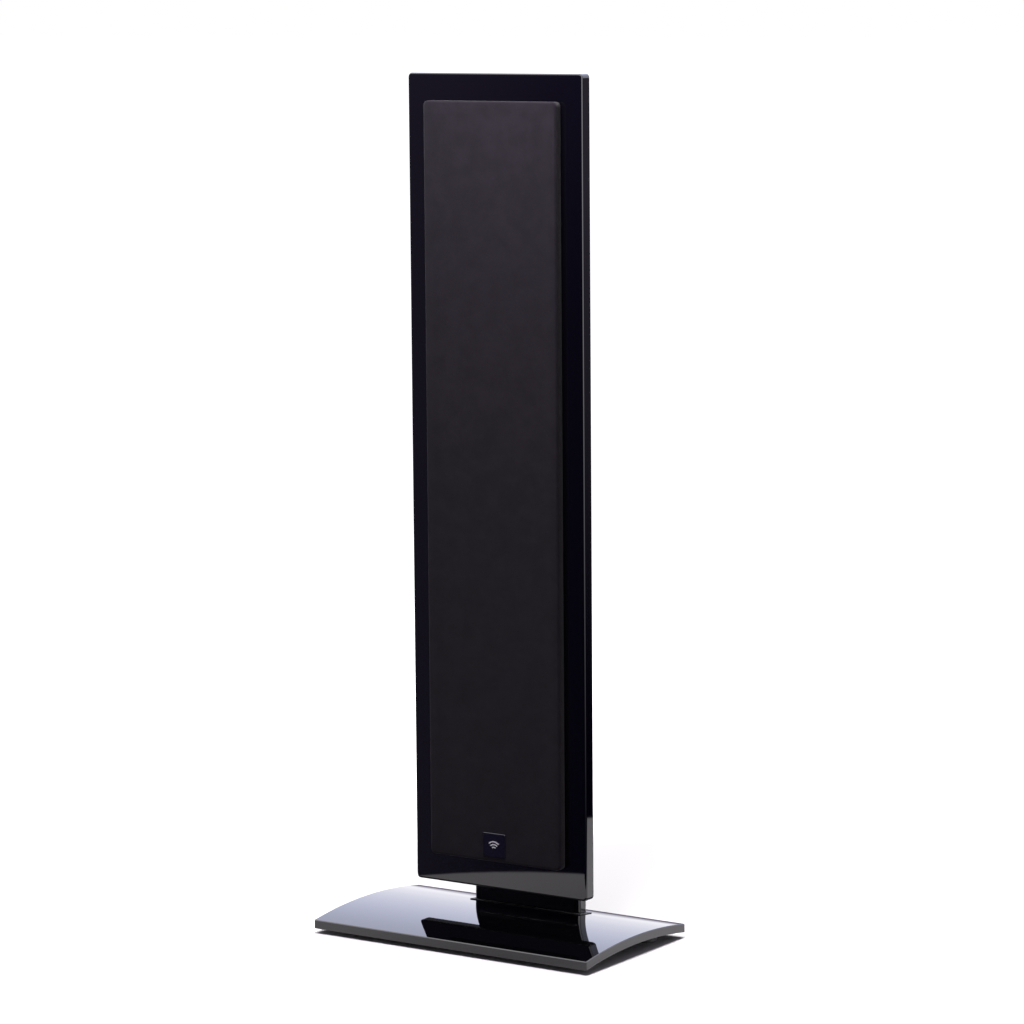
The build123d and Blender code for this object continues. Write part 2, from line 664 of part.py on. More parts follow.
def basket(unit):
    """The cast frame: a flange, an open cone with windows, a spider shelf and a seat for the motor."""
    u = unit
    wall = 2.4
    lip = 1.2
    shelf_back = u.spider_y + 2.0
    waist = u.spider_shelf - 4.0
    points = [
        (u.shelf + 3.0, FACE_Y), (u.flange, FACE_Y), (u.flange, u.flange_back), (u.wall, u.flange_back),
        (u.wall, 12.0), (u.spider_shelf + wall, shelf_back - 3.5), (u.spider_shelf + wall, shelf_back),
        (waist + wall, shelf_back), (waist + wall, u.plate_front), (u.coil + 4.0, u.plate_front),
        (u.coil + 4.0, u.plate_front - 2.0), (waist, u.plate_front - 2.0), (waist, u.spider_y),
        (u.spider_shelf, u.spider_y), (u.spider_shelf, shelf_back - 5.0), (u.wall - wall, 11.0),
        (u.wall - wall, FACE_Y + lip + 1.6), (u.shelf - 2.0, FACE_Y + lip + 1.6), (u.shelf - 2.0, FACE_Y + lip),
        (u.shelf + 3.0, FACE_Y + lip),
    ]
    frame = turned(points, u.z)
    width = u.cutout * 0.36
    window = Pos(0, 13.5, 0) * Box(width, 12.0, 2 * u.cutout, align=(Align.CENTER, Align.MIN, Align.MIN))
    for turn in range(WINDOWS):
        frame -= Pos(0, 0, u.z) * (Rot(0, 30 + turn * 360 / WINDOWS, 0) * window)
    for x, z in bolt_circle(u.z, u.flange - 5.5):
        frame -= rod(M4[0] + HOLE_GAP, FACE_Y - 1, u.flange_back + 1, x, z)
        frame -= rod(M4[1] + HOLE_GAP, FACE_Y - 1, UNIT_SCREW_SEAT, x, z)
    return frame


def surround(unit):
    """The half-roll edge: its outer lip sits on the frame's shelf and its inner lip on the cone."""
    u = unit
    seat = FACE_Y + 1.2
    skin = 0.7
    middle = u.shelf - 2.0 - u.roll
    roll = Pos(middle, seat) * (Circle(u.roll) - Circle(u.roll - skin))
    roll &= Pos(middle, seat - skin) * Rectangle(2 * u.roll, 2 * u.roll, align=(Align.CENTER, Align.MAX))
    outer = Pos(middle + u.roll - skin, seat - skin) * Rectangle(5.4, skin, align=(Align.MIN, Align.MIN))
    inner = Pos(u.cone_edge - 2.0, seat - skin) * Rectangle(
        middle - u.roll + skin - u.cone_edge + 2.0, skin, align=(Align.MIN, Align.MIN))
    return Pos(0, 0, u.z) * revolve(roll + outer + inner, axis=Axis.Y)


def cone(unit):
    """The diaphragm, with its dust cap moulded in, glued on the front of the coil former."""
    u = unit
    skin = 1.1
    rim = FACE_Y + 1.2
    cap = u.coil + 6.0
    slope = (u.neck - rim) / (u.cone_edge - u.coil)
    cap_y = u.neck - slope * (cap - u.coil)
    dome = 5.0
    points = [
        (0, cap_y - dome), (cap * 0.5, cap_y - dome * 0.72), (cap, cap_y), (u.cone_edge, rim),
        (u.cone_edge, rim + skin), (u.coil + 0.8, u.neck + skin * 0.6), (u.coil - 0.4, u.neck + skin * 0.6),
        (u.coil - 0.4, u.neck - skin * 0.8), (cap - 3.0, cap_y + skin), (cap * 0.5, cap_y - dome * 0.72 + skin),
        (0, cap_y - dome + skin),
    ]
    return turned(points, u.z)


def voice_coil(unit):
    """The former and its winding, hanging in the magnet gap."""
    u = unit
    front = u.neck + 0.66
    former = tube(u.coil + 0.2, u.coil - 0.2, front, u.coil_end, 0.0, u.z)
    winding = tube(u.coil + 0.6, u.coil + 0.2, u.plate_front - 2.5, u.coil_end - 0.5, 0.0, u.z)
    return former + winding


def spider(unit):
    """The corrugated centring disc between the former and the frame's inner shelf."""
    u = unit
    skin = 0.5
    inner = u.coil + 0.2
    outer = u.spider_shelf
    waves = 4
    front = []
    back = []
    steps = waves * 2
    for step in range(steps + 1):
        radius = inner + (outer - 4.2 - inner) * step / steps
        height = 0.8 if step % 2 else 0.0
        front.append((radius, u.spider_y - skin - height))
        back.append((radius, u.spider_y - height))
    points = front + [(outer, u.spider_y - skin), (outer, u.spider_y)] + back[::-1]
    return turned(points, u.z)


def motor(unit):
    """Front plate, ring magnet and the back plate with its pole, stacked."""
    u = unit
    front_plate = tube(u.motor, u.coil + 1.2, u.plate_front, u.plate_back, 0.0, u.z)
    magnet = tube(u.motor - 1.0, u.coil + 6.0, u.plate_back, u.magnet_back, 0.0, u.z)
    yoke = rod(u.motor, u.magnet_back, u.motor_back, 0.0, u.z)
    yoke += rod(u.pole, u.plate_front, u.magnet_back, 0.0, u.z)
    yoke = chamfer(yoke.edges().sort_by(Axis.Y)[-1:], 1.0)
    return group([front_plate, magnet, yoke])


# ======================================================================== tweeter
def tweeter_faceplate():
    mouth = TWEETER_DOME + 4.5
    points = [
        (mouth, FACE_Y + FLANGE_THICKNESS), (mouth, FACE_Y + 2.6), (mouth + 9.0, FACE_Y), (TWEETER_FLANGE, FACE_Y),
        (TWEETER_FLANGE, FACE_Y + FLANGE_THICKNESS),
    ]
    plate = turned(points, TWEETER_Z)
    for x, z in bolt_circle(TWEETER_Z, TWEETER_FLANGE - 5.5):
        plate -= rod(M4[0] + HOLE_GAP, FACE_Y - 1, FACE_Y + FLANGE_THICKNESS + 1, x, z)
        plate -= rod(M4[1] + HOLE_GAP, FACE_Y - 1, UNIT_SCREW_SEAT, x, z)
    return plate


def tweeter_surround():
    """The dome's soft edge, clamped between the faceplate and the motor."""
    y = FACE_Y + FLANGE_THICKNESS
    points = [
        (TWEETER_DOME + 0.2, y + 0.2), (TWEETER_DOME + 2.0, y - 0.9), (TWEETER_DOME + 4.0, y + 0.1),
        (TWEETER_DOME + 7.0, y + 0.1), (TWEETER_DOME + 7.0, y + 0.5), (TWEETER_DOME + 3.8, y + 0.5),
        (TWEETER_DOME + 2.0, y - 0.4), (TWEETER_DOME + 0.2, y + 0.7),
    ]
    return turned(points, TWEETER_Z)


def tweeter_dome():
    """The soft dome on its coil former."""
    y = FACE_Y + FLANGE_THICKNESS
    r = TWEETER_DOME
    points = [
        (0, y - 4.6), (r * 0.45, y - 3.6), (r * 0.8, y - 1.6), (r + 0.1, y + 0.9), (r + 0.1, TWEETER_COIL_END),
        (r - 0.3, TWEETER_COIL_END), (r - 0.3, y + 1.1), (r * 0.76, y - 1.0), (r * 0.43, y - 2.9), (0, y - 3.9),
    ]
    return turned(points, TWEETER_Z)


def tweeter_motor():
    """Front plate, ring magnet and the cup with its pole."""
    front = FACE_Y + FLANGE_THICKNESS + 0.5
    plate_back = front + 4.0
    magnet_back = 28.0
    gap = TWEETER_DOME + 0.8
    front_plate = tube(TWEETER_MOTOR, gap, front, plate_back, 0.0, TWEETER_Z)
    magnet = tube(TWEETER_MOTOR - 1.0, gap + 5.0, plate_back, magnet_back, 0.0, TWEETER_Z)
    yoke = rod(TWEETER_MOTOR, magnet_back, TWEETER_MOTOR_BACK, 0.0, TWEETER_Z)
    yoke += rod(TWEETER_DOME - 1.0, front + 1.0, magnet_back, 0.0, TWEETER_Z)
    return group([front_plate, magnet, yoke])


def driver_screws():
    return group([screw_front(M4, UNIT_SCREW_SEAT, FACE_Y + 12.5, x, z) for x, z in unit_screws()])


# ======================================================================== grille
def grille_block(inset, back):
    """The grille's outer form, drawn in by inset, from its front face to depth back."""
    size = (GRILLE_WIDTH - 2 * inset, GRILLE_HEIGHT - 2 * inset)
    outline = RectangleRounded(size[0], size[1], GRILLE_CORNER - inset)
    block = slab(outline, GRILLE_FRONT + inset, back, 0.0, GRILLE_MIDDLE)
    return fillet(block.faces().sort_by(Axis.Y)[0].edges(), GRILLE_EDGE_ROUND - inset)


def grille_cloth():
    """The cloth: a flat front and four sides turned back over the frame, each its own solid."""
    skin = grille_block(0.0, CLOTH_BACK) - grille_block(CLOTH_THICKNESS, CLOTH_BACK + 1.0)
    front_back = GRILLE_FRONT + CLOTH_THICKNESS
    half = GRILLE_WIDTH / 2
    straight = half - GRILLE_CORNER
    low = GRILLE_BOTTOM
    high = GRILLE_TOP
    return group([
        skin & box((-half, GRILLE_FRONT, low), (half, front_back, high)),
        skin & box((-half, front_back, low), (-straight, CLOTH_BACK, high)),
        skin & box((straight, front_back, low), (half, CLOTH_BACK, high)),
        skin & box((-straight, front_back, low), (straight, CLOTH_BACK, low + GRILLE_CORNER)),
        skin & box((-straight, front_back, high - GRILLE_CORNER), (straight, CLOTH_BACK, high)),
    ])


def grille_frame():
    """Four rails round an open middle, crossbars between the side rails, and pegs on the rails' backs."""
    rim = grille_block(CLOTH_THICKNESS, GRILLE_FRAME_BACK)
    half = GRILLE_WIDTH / 2
    inner = half - GRILLE_RAIL
    low = GRILLE_BOTTOM
    high = GRILLE_TOP
    pieces = [
        rim & box((-half, GRILLE_FRONT, low), (-inner, GRILLE_FRAME_BACK, high)),
        rim & box((inner, GRILLE_FRONT, low), (half, GRILLE_FRAME_BACK, high)),
        rim & box((-inner, GRILLE_FRONT, low), (inner, GRILLE_FRAME_BACK, low + GRILLE_RAIL)),
        rim & box((-inner, GRILLE_FRONT, high - GRILLE_RAIL), (inner, GRILLE_FRAME_BACK, high)),
    ]
    for z in CROSSBAR_HEIGHTS:
        pieces.append(slab(Rectangle(2 * inner, CROSSBAR_HEIGHT), CROSSBAR_FRONT, CROSSBAR_BACK, 0.0, z))
    for x, z in mirrored([(PEG_X, z) for z in PEG_HEIGHTS]):
        peg = rod(PEG_RADIUS, GRILLE_FRAME_BACK, PEG_TIP, x, z)
        pieces.append(chamfer(peg.edges().sort_by(Axis.Y)[-1:], PEG_LEAD_IN))
    return group(pieces)


def peg_sockets():
    """Rubber cups pressed into the panel, one for each grille peg."""
    cups = []
    for x, z in mirrored([(PEG_X, z) for z in PEG_HEIGHTS]):
        cup = rod(SOCKET_RADIUS, FACE_Y, SOCKET_BACK, x, z)
        cups.append(cup - rod(PEG_RADIUS + RUNNING_GAP, FACE_Y - 1, PEG_TIP + 0.4, x, z))
    return group(cups)


def badge():
    plate = slab(RectangleRounded(*BADGE_SIZE, 1.2), GRILLE_FRONT - BADGE_THICKNESS, GRILLE_FRONT, 0.0, BADGE_Z)
    return chamfer(plate.faces().sort_by(Axis.Y)[0].edges(), 0.3)


def badge_emblem():
    """A plain wave mark: three nested arcs, like ripples."""
    front = GRILLE_FRONT - BADGE_THICKNESS - EMBLEM_HEIGHT
    back = GRILLE_FRONT - BADGE_THICKNESS
    arcs = []
    for radius in (4.0, 7.4, 10.8):
        ring = Circle(radius) - Circle(radius - 1.5)
        ring &= Polygon((0, 0), (-14, 14), (14, 14), align=None)
        arcs.append(slab(ring, front, back, 0.0, BADGE_Z - 5.5))
    return group(arcs)


# ======================================================================== lead routes
BOARD_LEAD_X = 55.5
DRIVER_LEAD_Y = 36.2
OUTER_LEAD_Y = 42.0
INPUT_LEAD_Y = 30.0
TWEETER_LEAD_Y = 31.0


def driver_leads():
    """One lead from the board up the side of the enclosure to each drive unit."""
    routes = []
    for side, y, z_board, unit in ((1, DRIVER_LEAD_Y, 285.0, WOOFER_LOWER), (1, OUTER_LEAD_Y, 262.0, WOOFER_UPPER),
                                   (-1, DRIVER_LEAD_Y, 285.0, MIDRANGE)):
        hub = unit.spider_shelf - 1.6
        routes.append([
            (side * BOARD_LEAD_X, BOARD_FRONT, z_board), (side * BOARD_LEAD_X, 38.0, z_board),
            (side * LEAD_X, y, z_board + 18.0), (side * LEAD_X, y, unit.z - 6.0),
            (side * (hub + 18.0), DRIVER_LEAD_Y, unit.z), (side * hub, DRIVER_LEAD_Y, unit.z),
        ])
    routes.append([
        (-BOARD_LEAD_X, BOARD_FRONT, 262.0), (-BOARD_LEAD_X, 38.0, 262.0), (-LEAD_X, OUTER_LEAD_Y, 280.0),
        (-LEAD_X, OUTER_LEAD_Y, TWEETER_Z - 6.0), (-TWEETER_MOTOR - 22.0, TWEETER_LEAD_Y, TWEETER_Z),
        (-TWEETER_MOTOR, TWEETER_LEAD_Y, TWEETER_Z),
    ])
    return group([lead(route) for route in routes])


def input_leads():
    """One lead from each binding post down the side of the enclosure to the board."""
    routes = []
    for side in (-1, 1):
        routes.append([
            (side * POST_X, POST_INNER_END, TERMINAL_Z), (side * POST_X, POST_INNER_END - 8.0, TERMINAL_Z),
            (side * LEAD_X, INPUT_LEAD_Y, TERMINAL_Z - 22.0), (side * LEAD_X, INPUT_LEAD_Y, 290.0),
            (side * BOARD_LEAD_X, 41.0, 225.0), (side * BOARD_LEAD_X, BOARD_FRONT, 225.0),
        ])
    return group([lead(route) for route in routes])


def nodes():
    """Every node by name."""
    made = {
        "base_plate": base_plate(),
        "foot_pads": foot_pads(),
        "foot_screws": foot_screws(),
        "column": column(),
        "column_gasket": column_gasket(),
        "column_screws": column_screws(),
        "column_cover": column_cover(),
        "cover_screws": cover_screws(),
        "cabinet_screws": cabinet_screws(),
        "cabinet_inserts": cabinet_inserts(),
        "front_panel": front_panel(),
        "panel_gasket": panel_gasket(),
        "rear_shell": rear_shell(),
        "panel_screws": panel_screws(),
        "cabinet_braces": cabinet_braces(),
        "damping_wadding": damping_wadding(),
        "terminal_cup": terminal_cup(),
        "terminal_screws": terminal_screws(),
        "binding_posts": binding_posts(),
        "post_nuts": post_nuts(),
        "red_washer": clamp_washer(-POST_X),
        "black_washer": clamp_washer(POST_X),
        "red_knob": post_knob(-POST_X),
        "black_knob": post_knob(POST_X),
        "crossover_board": crossover_board(),
        "board_standoffs": board_standoffs(),
        "inductors": inductors(),
        "capacitors": capacitors(),
        "resistors": resistors(),
        "input_leads": input_leads(),
        "driver_leads": driver_leads(),
        "tweeter_faceplate": tweeter_faceplate(),
        "tweeter_surround": tweeter_surround(),
        "tweeter_dome": tweeter_dome(),
        "tweeter_motor": tweeter_motor(),
        "driver_screws": driver_screws(),
        "grille_frame": grille_frame(),
        "grille_cloth": grille_cloth(),
        "peg_sockets": peg_sockets(),
        "badge": badge(),
        "badge_emblem": badge_emblem(),
    }
    for name, unit in CONE_UNITS.items():
        made[name + "_basket"] = basket(unit)
        made[name + "_surround"] = surround(unit)
        made[name + "_cone"] = cone(unit)
        made[name + "_voice_coil"] = voice_coil(unit)
        made[name + "_spider"] = spider(unit)
        made[name + "_motor"] = motor(unit)
    return made


os.makedirs("parts", exist_ok=True)
for name, shape in nodes().items():
    export_step(shape, os.path.join("parts", name + ".step"))
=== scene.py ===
import json
import math

import bmesh
import bpy
from mathutils import Matrix, Vector, noise


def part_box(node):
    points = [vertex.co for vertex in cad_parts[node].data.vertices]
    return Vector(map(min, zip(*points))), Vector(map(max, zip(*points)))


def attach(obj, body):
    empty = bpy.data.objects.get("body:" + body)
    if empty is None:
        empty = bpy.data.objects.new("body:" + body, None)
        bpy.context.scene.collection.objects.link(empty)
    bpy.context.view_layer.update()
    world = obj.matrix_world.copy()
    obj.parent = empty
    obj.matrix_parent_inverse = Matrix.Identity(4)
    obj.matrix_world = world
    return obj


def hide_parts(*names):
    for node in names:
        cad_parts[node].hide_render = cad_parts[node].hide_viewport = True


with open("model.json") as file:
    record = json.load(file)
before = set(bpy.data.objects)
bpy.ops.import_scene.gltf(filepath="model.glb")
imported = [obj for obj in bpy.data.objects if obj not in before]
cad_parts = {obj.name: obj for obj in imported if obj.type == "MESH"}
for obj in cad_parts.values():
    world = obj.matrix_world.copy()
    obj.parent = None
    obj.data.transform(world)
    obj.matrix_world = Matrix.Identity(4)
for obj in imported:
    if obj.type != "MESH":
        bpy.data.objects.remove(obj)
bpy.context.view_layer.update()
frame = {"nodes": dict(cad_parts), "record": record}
nodes = frame["nodes"]

MM = 0.001

# ---------------------------------------------------------------- camera, in metres and radians
CAMERA_PLACE = (2.6218, -3.8726, 1.1511)
CAMERA_TURN = 0.5909
CAMERA_PITCH = 0.1346
CAMERA_ROLL = -0.0079
CAMERA_LENS = 138.78
SENSOR = 36.0

# ---------------------------------------------------------------- light
FLOOR_WHITE = 0.64
FLOOR_WARMTH = 0.985
FLOOR_HALF = 60.0
CEILING_POWER = 105.0
CEILING_SIZE = 1.6
CEILING_PLACE = (-0.45, 0.9, 2.6)
HEAD_POWER = 30.0
HEAD_SIZE = 0.4
HEAD_PLACE = (0.1, -0.36, 1.42)
POOL_CENTRE = 0.241
POOL_LONG = 0.575
POOL_SHORT = 0.44
POOL_EDGE = 0.012
GLOW_RUN = (0.9, 1.5)

# What polished surfaces see, by direction: behind the object, in front of it, to its right and overhead.
BACK_AT_HORIZON = (1.9, 1.88, 2.02, 1)
BACK_HIGH = (2.1, 2.2, 2.8, 1)
BELOW_DEEP = (0.004, 0.002, 0.02, 1)
BELOW_HORIZON = (0.24, 0.21, 0.30, 1)
FRONT_DEEP = (0.003, 0.003, 0.035, 1)
FRONT_LEFT = (0.13, 0.11, 0.19, 1)
RIGHT_STRIP = (4.8, 4.7, 4.9, 1)
OVERHEAD = (4.4, 4.3, 4.5, 1)
# What matt surfaces see, low and high.
SOFT_LOW = (0.06, 0.055, 0.065, 1)
SOFT_HIGH = (0.26, 0.25, 0.29, 1)


# ================================================================ node helpers
class Graph:
    """A small wrapper that adds nodes to a material's or the world's tree and wires them."""

    def __init__(self, tree):
        self.tree = tree
        self.tree.nodes.clear()

    def add(self, kind, inputs=None, **settings):
        node = self.tree.nodes.new(kind)
        for key, value in settings.items():
            setattr(node, key, value)
        for key, value in (inputs or {}).items():
            self.wire(node.inputs[key], value)
        return node

    def wire(self, socket, value):
        if isinstance(value, bpy.types.NodeSocket):
            self.tree.links.new(value, socket)
        else:
            socket.default_value = value

    def math(self, operation, *values, clamp=False):
        node = self.add("ShaderNodeMath", operation=operation, use_clamp=clamp)
        for socket, value in zip(node.inputs, values):
            self.wire(socket, value)
        return node.outputs[0]

    def step(self, value, low, high, out_low=0.0, out_high=1.0):
        """A smooth ramp of value from low to high."""
        node = self.add("ShaderNodeMapRange", interpolation_type="SMOOTHSTEP")
        for name, number in (("Value", value), ("From Min", low), ("From Max", high),
                             ("To Min", out_low), ("To Max", out_high)):
            self.wire(node.inputs[name], number)
        return node.outputs["Result"]

    def mix_colour(self, factor, a, b):
        node = self.add("ShaderNodeMix", data_type="RGBA")
        self.wire(node.inputs["Factor"], factor)
        self.wire(node.inputs["A"], a)
        self.wire(node.inputs["B"], b)
        return node.outputs["Result"]

    def noise(self, scale, detail=3.0, vector=None, roughness=0.5):
        node = self.add("ShaderNodeTexNoise", {"Scale": scale, "Detail": detail, "Roughness": roughness})
        if vector is not None:
            self.wire(node.inputs["Vector"], vector)
        return node.outputs["Fac"]

    def place(self):
        return self.add("ShaderNodeTexCoord").outputs["Object"]

    def axes(self, vector):
        return self.add("ShaderNodeSeparateXYZ", {"Vector": vector}).outputs

    def bump(self, height, strength, distance):
        node = self.add("ShaderNodeBump", {"Strength": strength, "Distance": distance, "Height": height})
        return node.outputs["Normal"]


def rgb(values):
    return (values[0], values[1], values[2], 1.0)


def principled(name, colour, roughness, metallic=0.0, build=None, **constants):
    """A material whose colour, roughness and normal come from nodes: build gets the graph and returns them."""
    material = bpy.data.materials.new(name)
    material.use_nodes = True
    graph = Graph(material.node_tree)
    shader = graph.add("ShaderNodeBsdfPrincipled")
    graph.add("ShaderNodeOutputMaterial", {"Surface": shader.outputs["BSDF"]})
    shader.inputs["Base Color"].default_value = rgb(colour)
    shader.inputs["Roughness"].default_value = roughness
    shader.inputs["Metallic"].default_value = metallic
    for key, value in constants.items():
        shader.inputs[key.replace("_", " ").title().replace("Ior", "IOR")].default_value = value
    if build is not None:
        for key, socket in build(graph).items():
            graph.wire(shader.inputs[key], socket)
    material.diffuse_color = rgb(colour)
    return material


# ================================================================ materials
KNIT_PITCH = 0.0011
WIRE_PITCH = 0.0011
DIPPED_THREAD = 0.0008


def shade(colour, amount):
    return tuple(max(0.0, c * amount) for c in colour)


def lacquer(name, colour, roughness=0.035, peel=0.35):
    """Polished lacquer: sharp reflections, a faint orange peel and a little haze that varies over the surface."""
    def build(graph):
        at = graph.place()
        haze = graph.step(graph.noise(6.0, 4.0, at), 0.35, 0.75, roughness * 0.8, roughness * 1.5)
        wave = graph.noise(60.0, 1.0, at)
        return {"Roughness": haze, "Normal": graph.bump(wave, peel, 0.00002)}
    return principled(name, colour, roughness, build=build)


def textured_paint(name, colour, roughness, grain=900.0, depth=0.00012, variation=0.25):
    """Fine pebbled paint or moulded plastic: small bumps, with colour and gloss that drift a little."""
    def build(graph):
        at = graph.place()
        pebbles = graph.noise(grain, 3.0, at, 0.6)
        drift = graph.noise(9.0, 4.0, at)
        tint = graph.mix_colour(graph.step(drift, 0.3, 0.7), rgb(shade(colour, 1 - variation)),
                                rgb(shade(colour, 1 + variation)))
        gloss = graph.step(graph.math("ADD", pebbles, drift), 0.7, 1.4, roughness * 0.88, min(1.0, roughness * 1.15))
        return {"Base Color": tint, "Roughness": gloss, "Normal": graph.bump(pebbles, 0.5, depth)}
    return principled(name, colour, roughness, build=build)


def moulded(name, colour, roughness):
    """Smooth moulded plastic or rubber with fine flow marks."""
    def build(graph):
        at = graph.place()
        flow = graph.noise(140.0, 5.0, at, 0.65)
        tint = graph.mix_colour(graph.step(flow, 0.35, 0.65), rgb(shade(colour, 0.85)), rgb(shade(colour, 1.12)))
        gloss = graph.step(flow, 0.3, 0.7, roughness * 0.8, min(1.0, roughness * 1.2))
        return {"Base Color": tint, "Roughness": gloss, "Normal": graph.bump(flow, 0.2, 0.00004)}
    return principled(name, colour, roughness, build=build)


def metal(name, colour, roughness, grain=(400.0, 400.0, 400.0), contrast=0.15):
    """Bare or plated metal with directional grain, given by the stretch of its noise along each axis."""
    def build(graph):
        at = graph.place()
        stretched = graph.add("ShaderNodeMapping", {"Vector": at, "Scale": grain}).outputs["Vector"]
        lines = graph.noise(1.0, 4.0, stretched, 0.7)
        smudge = graph.noise(30.0, 3.0, at)
        tint = graph.mix_colour(graph.step(lines, 0.3, 0.7), rgb(shade(colour, 1 - contrast)), rgb(colour))
        gloss = graph.step(graph.math("ADD", lines, smudge), 0.6, 1.4, roughness * 0.7, min(1.0, roughness * 1.4))
        return {"Base Color": tint, "Roughness": gloss, "Normal": graph.bump(lines, 0.25, 0.00003)}
    return principled(name, colour, roughness, 1.0, build=build)


def acoustic_cloth(name, colour, pitch=KNIT_PITCH):
    """Knitted cloth: rows of loops in both directions, with lint, and a soft sheen at grazing angles. Its colour
    carries painted shade: darker in the hollows between loops, lighter on the loop tops.
    """
    def build(graph):
        x, y, z = graph.axes(graph.place())[:3]
        across = graph.math("ADD", x, y)
        turn = 2 * math.pi / pitch
        column = graph.math("SINE", graph.math("MULTIPLY", across, turn))
        row = graph.math("SINE", graph.math("MULTIPLY", z, turn * 1.2))
        loops = graph.math("MULTIPLY", graph.math("ABSOLUTE", column), graph.math("ABSOLUTE", row))
        thread = graph.noise(2600.0, 2.0, graph.place())
        height = graph.math("ADD", loops, graph.math("MULTIPLY", thread, 0.5))
        mottle = graph.noise(55.0, 5.0, graph.place(), 0.6)
        # painted shade: the colour is darkened in the low hollows of the knit and lightened on the loop tops,
        # following the bump height
        painted_loop_shade = graph.step(height, 0.05, 0.9)
        drift = graph.step(mottle, 0.3, 0.7, 0.86, 1.14)
        dark = graph.mix_colour(painted_loop_shade, rgb(shade(colour, 0.45)), rgb(shade(colour, 1.5)))
        tint = graph.add("ShaderNodeVectorMath", {0: dark}, operation="SCALE")
        graph.wire(tint.inputs["Scale"], drift)
        return {"Base Color": tint.outputs["Vector"], "Normal": graph.bump(height, 0.55, 0.00025)}
    return principled(name, colour, 0.95, build=build, sheen_weight=0.04, sheen_roughness=0.5,
                      specular_ior_level=0.06)


def fibre(name, colour):
    """Loose wadding."""
    def build(graph):
        at = graph.place()
        warp = graph.add("ShaderNodeMapping", {"Vector": at, "Scale": (900.0, 220.0, 400.0)}).outputs["Vector"]
        strands = graph.noise(1.0, 8.0, warp, 0.75)
        clumps = graph.noise(70.0, 4.0, at)
        tint = graph.mix_colour(graph.step(graph.math("ADD", strands, clumps), 0.7, 1.3), rgb(shade(colour, 0.55)),
                                rgb(shade(colour, 1.15)))
        return {"Base Color": tint, "Normal": graph.bump(strands, 0.9, 0.0012)}
    return principled(name, colour, 0.95, build=build, sheen_weight=0.3)


def board(name, colour):
    """Sanded fibreboard or laminate with a fine fleck."""
    def build(graph):
        at = graph.place()
        fleck = graph.noise(1500.0, 2.0, at)
        stretched = graph.add("ShaderNodeMapping", {"Vector": at, "Scale": (60.0, 900.0, 900.0)}).outputs["Vector"]
        grain = graph.noise(1.0, 6.0, stretched, 0.6)
        tint = graph.mix_colour(graph.step(graph.math("ADD", fleck, grain), 0.7, 1.3), rgb(shade(colour, 0.75)),
                                rgb(shade(colour, 1.15)))
        return {"Base Color": tint, "Normal": graph.bump(fleck, 0.3, 0.00006)}
    return principled(name, colour, 0.7, build=build)


def wound(name, colour, pitch=WIRE_PITCH):
    """Enamelled wire wound in turns round the Y axis: fine ridges across the coil, with painted shade darkening the
    grooves between turns.
    """
    def build(graph):
        y = graph.axes(graph.place())[1]
        turns = graph.math("ABSOLUTE", graph.math("SINE", graph.math("MULTIPLY", y, math.pi / pitch)))
        # painted shade: the colour drops to about a third in the grooves between turns and is full on the ridge tops
        tint = graph.mix_colour(turns, rgb(shade(colour, 0.35)), rgb(colour))
        return {"Base Color": tint, "Normal": graph.bump(turns, 0.8, 0.0003)}
    return principled(name, colour, 0.3, 0.9, build=build)


def dipped_cloth(name, colour):
    """Resin-dipped or coated woven cloth, with painted shade darkening the low points of the weave."""
    def build(graph):
        x, _, z = graph.axes(graph.place())[:3]
        turn = 2 * math.pi / DIPPED_THREAD
        weave = graph.math("MULTIPLY", graph.math("SINE", graph.math("MULTIPLY", x, turn)),
                           graph.math("SINE", graph.math("MULTIPLY", z, turn)))
        # painted shade: the colour is darker where the weave dips and lighter on the raised threads, following the
        # bump height
        tint = graph.mix_colour(graph.step(weave, -1.0, 1.0), rgb(shade(colour, 0.6)), rgb(shade(colour, 1.15)))
        return {"Base Color": tint, "Normal": graph.bump(weave, 0.5, 0.0001)}
    return principled(name, colour, 0.75, build=build)


